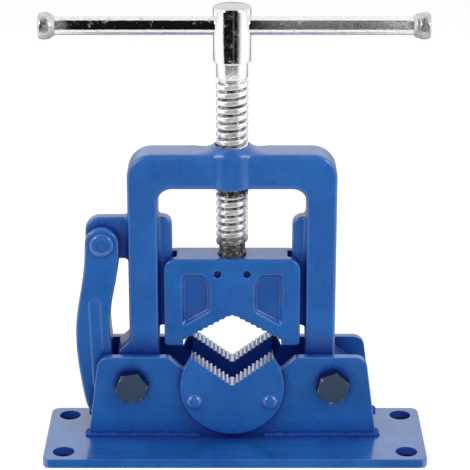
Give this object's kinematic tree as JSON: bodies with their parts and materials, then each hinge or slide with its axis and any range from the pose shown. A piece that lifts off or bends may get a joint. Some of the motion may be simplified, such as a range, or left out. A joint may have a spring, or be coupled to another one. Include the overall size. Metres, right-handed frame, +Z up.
{
  "type": "tilting pipe vise",
  "caption": "Bench pipe vise with a hinged yoke, latch hook, toothed lower V discs and an upper V jaw driven down by a screw with a sliding tommy bar",
  "frame": {"origin": "centre of the underside of the base plate", "axes": "+X to the right as seen from the front, along the base plate's length; +Y to the rear, along a pipe held in the jaws; +Z up, along the feed screw"},
  "size_m": [0.27, 0.1047, 0.3165],
  "materials": {
    "blue_paint": "gloss enamel",
    "black_steel": "black oxide hex fasteners",
    "bright_zinc": "bright plated",
    "plain_steel": "machined"
  },
  "bodies": {
    "base": {"base_plate": "blue_paint", "front_cheek": "blue_paint", "rear_cheek": "blue_paint", "cheek_welds": "blue_paint", "front_lower_jaw": "blue_paint", "rear_lower_jaw": "blue_paint", "lower_jaw_rivets": "blue_paint", "hinge_bolt": "black_steel", "hinge_nut": "black_steel", "hinge_washer": "black_steel", "hinge_sleeve": "plain_steel", "latch_bolt": "black_steel", "latch_nut": "black_steel", "latch_washer": "black_steel", "latch_sleeve": "plain_steel"},
    "yoke": {"yoke_frame": "blue_paint", "hook_rivet": "blue_paint"},
    "latch_hook": {"hook": "blue_paint"},
    "jaw_slide_block": {"upper_jaw": "blue_paint", "jaw_pins": "blue_paint", "thrust_pad": "plain_steel"},
    "screw": {"feed_screw": "bright_zinc"},
    "bar": {"tommy_bar": "bright_zinc", "bar_knob_left": "bright_zinc", "bar_knob_right": "bright_zinc"}
  },
  "joints": [
    {"name": "yoke_tilt", "type": "hinge", "parent": "base", "child": "yoke", "pos_m": [0.0695, 0.0185, 0.0465], "axis": [0, 1, 0], "range_deg": [0, 90]},
    {"name": "hook_swing", "type": "hinge", "parent": "yoke", "child": "latch_hook", "pos_m": [-0.0933, 0.0185, 0.148], "axis": [0, 1, 0], "range_deg": [0, 155]},
    {"name": "jaw_slide", "type": "slide", "parent": "yoke", "child": "jaw_slide_block", "axis": [0, 0, 1], "range_m": [-0.0362, 0.0482]},
    {"name": "screw_turn", "type": "hinge", "parent": "jaw_slide_block", "child": "screw", "pos_m": [-0.002, 0.0185, 0.2], "axis": [0, 0, 1], "range_deg": [-2297.9, 3063.8]},
    {"name": "bar_slide", "type": "slide", "parent": "screw", "child": "bar", "axis": [1, 0, 0], "range_m": [-0.1088, 0.1058]}
  ],
  "couplings": [
    {"joint": "jaw_slide", "follows": "screw_turn", "m_per_rad": 0.00089763},
    {"joint": "hook_swing", "follows": "yoke_tilt", "ratio": 1.7}
  ]
}
